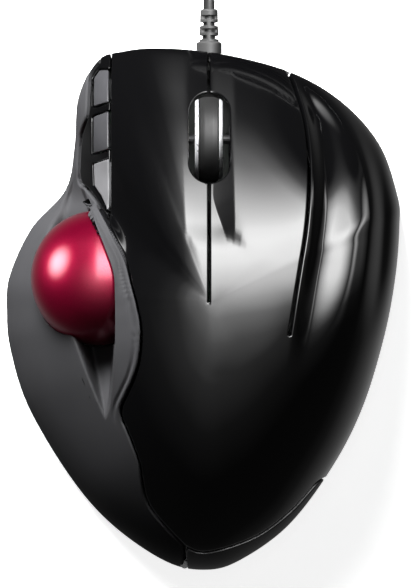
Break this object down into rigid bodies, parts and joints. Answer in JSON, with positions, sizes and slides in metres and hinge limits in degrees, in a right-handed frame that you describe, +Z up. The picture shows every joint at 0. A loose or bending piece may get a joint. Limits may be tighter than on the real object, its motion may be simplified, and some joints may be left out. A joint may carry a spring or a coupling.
{
  "type": "trackball mouse",
  "caption": "Wired right-handed thumb-trackball mouse: glossy shell with click buttons, scroll wheel, side keys, red ball in a matte thumb rest, coiled cord with USB-A plug.",
  "frame": {"origin": "centre of the body's plan box, on the desk under the feet", "axes": "+Y to the front where the cord leaves, +X to the user's right, +Z up"},
  "size_m": [0.1294, 0.2057, 0.0471],
  "materials": {
    "gloss_black": "polished black shell",
    "matte_black": "fine matte texture",
    "ball_red": "pearly deep red under clear coat",
    "ring_chrome": "bright plated ring",
    "wheel_rubber": "ribbed dark grey",
    "steel": "plain",
    "circuit_board": "green solder mask",
    "white_plastic": "natural white",
    "chip_black": "moulded",
    "clear_lens": "clear",
    "foot_dark": "slick pad",
    "label_grey": "blank label film",
    "cord_black": "satin cable jacket",
    "boot_grey": "moulded rubber boot",
    "base_black": "fine grain",
    "key_satin": "satin",
    "trim_satin": "satin",
    "plug_steel": "folded plated shell"
  },
  "bodies": {
    "case": {"base_shell": "base_black", "foot_front_left": "foot_dark", "foot_front_right": "foot_dark", "foot_right": "foot_dark", "foot_left": "foot_dark", "foot_rear": "foot_dark", "rating_label": "label_grey", "case_screw_cover_right": "steel", "case_screw_cover_rear": "steel", "case_screw_cover_front": "steel", "case_screw_panel_rear": "steel", "case_screw_panel_side": "steel", "top_cover": "gloss_black", "thumb_panel": "matte_black", "key_bezel": "gloss_black", "bezel_trim": "trim_satin", "ball_bearing_1": "steel", "ball_bearing_2": "steel", "ball_bearing_3": "steel", "ball_cup": "matte_black", "sensor_lens": "clear_lens", "sensor_chip": "chip_black", "sensor_board": "circuit_board", "cradle_pin": "steel", "board_screw_front": "steel", "board_screw_rear": "steel", "main_board": "circuit_board", "left_switch": "chip_black", "right_switch": "chip_black", "middle_switch": "chip_black", "controller_chip": "chip_black", "cord_socket": "white_plastic", "rotary_encoder": "chip_black", "cradle_spring": "steel", "side_key_board": "circuit_board", "forward_switch": "chip_black", "back_switch": "chip_black", "strain_relief": "boot_grey", "inner_lead": "cord_black", "cable_run": "cord_black", "cable_tail": "cord_black", "cable_coil": "cord_black", "cable_tie": "cord_black", "plug_overmould": "cord_black", "plug_shell": "plug_steel", "plug_tongue": "white_plastic"},
    "left_button": {"left_button": "gloss_black"},
    "right_button": {"right_button": "gloss_black"},
    "forward_key": {"forward_button": "key_satin"},
    "back_key": {"back_button": "key_satin"},
    "wheel_carrier": {"wheel_cradle": "matte_black"},
    "wheel": {"wheel_tyre": "wheel_rubber", "wheel_hub": "white_plastic", "wheel_ring_left": "ring_chrome", "wheel_ring_right": "ring_chrome", "wheel_axle": "chip_black"},
    "ball": {"ball": "ball_red"}
  },
  "joints": [
    {"name": "left_press", "type": "hinge", "parent": "case", "child": "left_button", "pos_m": [-0.007, -0.002, 0.046], "axis": [1, 0, 0], "range_deg": [-0.9, 0], "stiffness_Nm_per_rad": 1.5, "springref_deg": 0.57},
    {"name": "right_press", "type": "hinge", "parent": "case", "child": "right_button", "pos_m": [0.012, -0.002, 0.046], "axis": [1, 0, 0], "range_deg": [-0.9, 0], "stiffness_Nm_per_rad": 1.5, "springref_deg": 0.57},
    {"name": "forward_key_press", "type": "slide", "parent": "case", "child": "forward_key", "axis": [0, 0, -1], "range_m": [0, 0.0005], "stiffness_N_per_m": 1200, "springref_m": -0.0003},
    {"name": "back_key_press", "type": "slide", "parent": "case", "child": "back_key", "axis": [0, 0, -1], "range_m": [0, 0.0005], "stiffness_N_per_m": 1200, "springref_m": -0.0003},
    {"name": "wheel_press", "type": "hinge", "parent": "case", "child": "wheel_carrier", "pos_m": [0.0015, 0.025, 0.0135], "axis": [1, 0, 0], "range_deg": [-1.2, 0], "stiffness_Nm_per_rad": 1, "springref_deg": 0.86},
    {"name": "wheel_spin", "type": "hinge", "parent": "wheel_carrier", "child": "wheel", "pos_m": [0.0015, 0.0429, 0.02646], "axis": [1, 0, 0], "continuous": true},
    {"name": "ball_roll", "type": "hinge", "parent": "case", "child": "ball", "pos_m": [-0.0264, 0.0081, 0.0215], "axis": [1, 0, 0], "continuous": true}
  ]
}
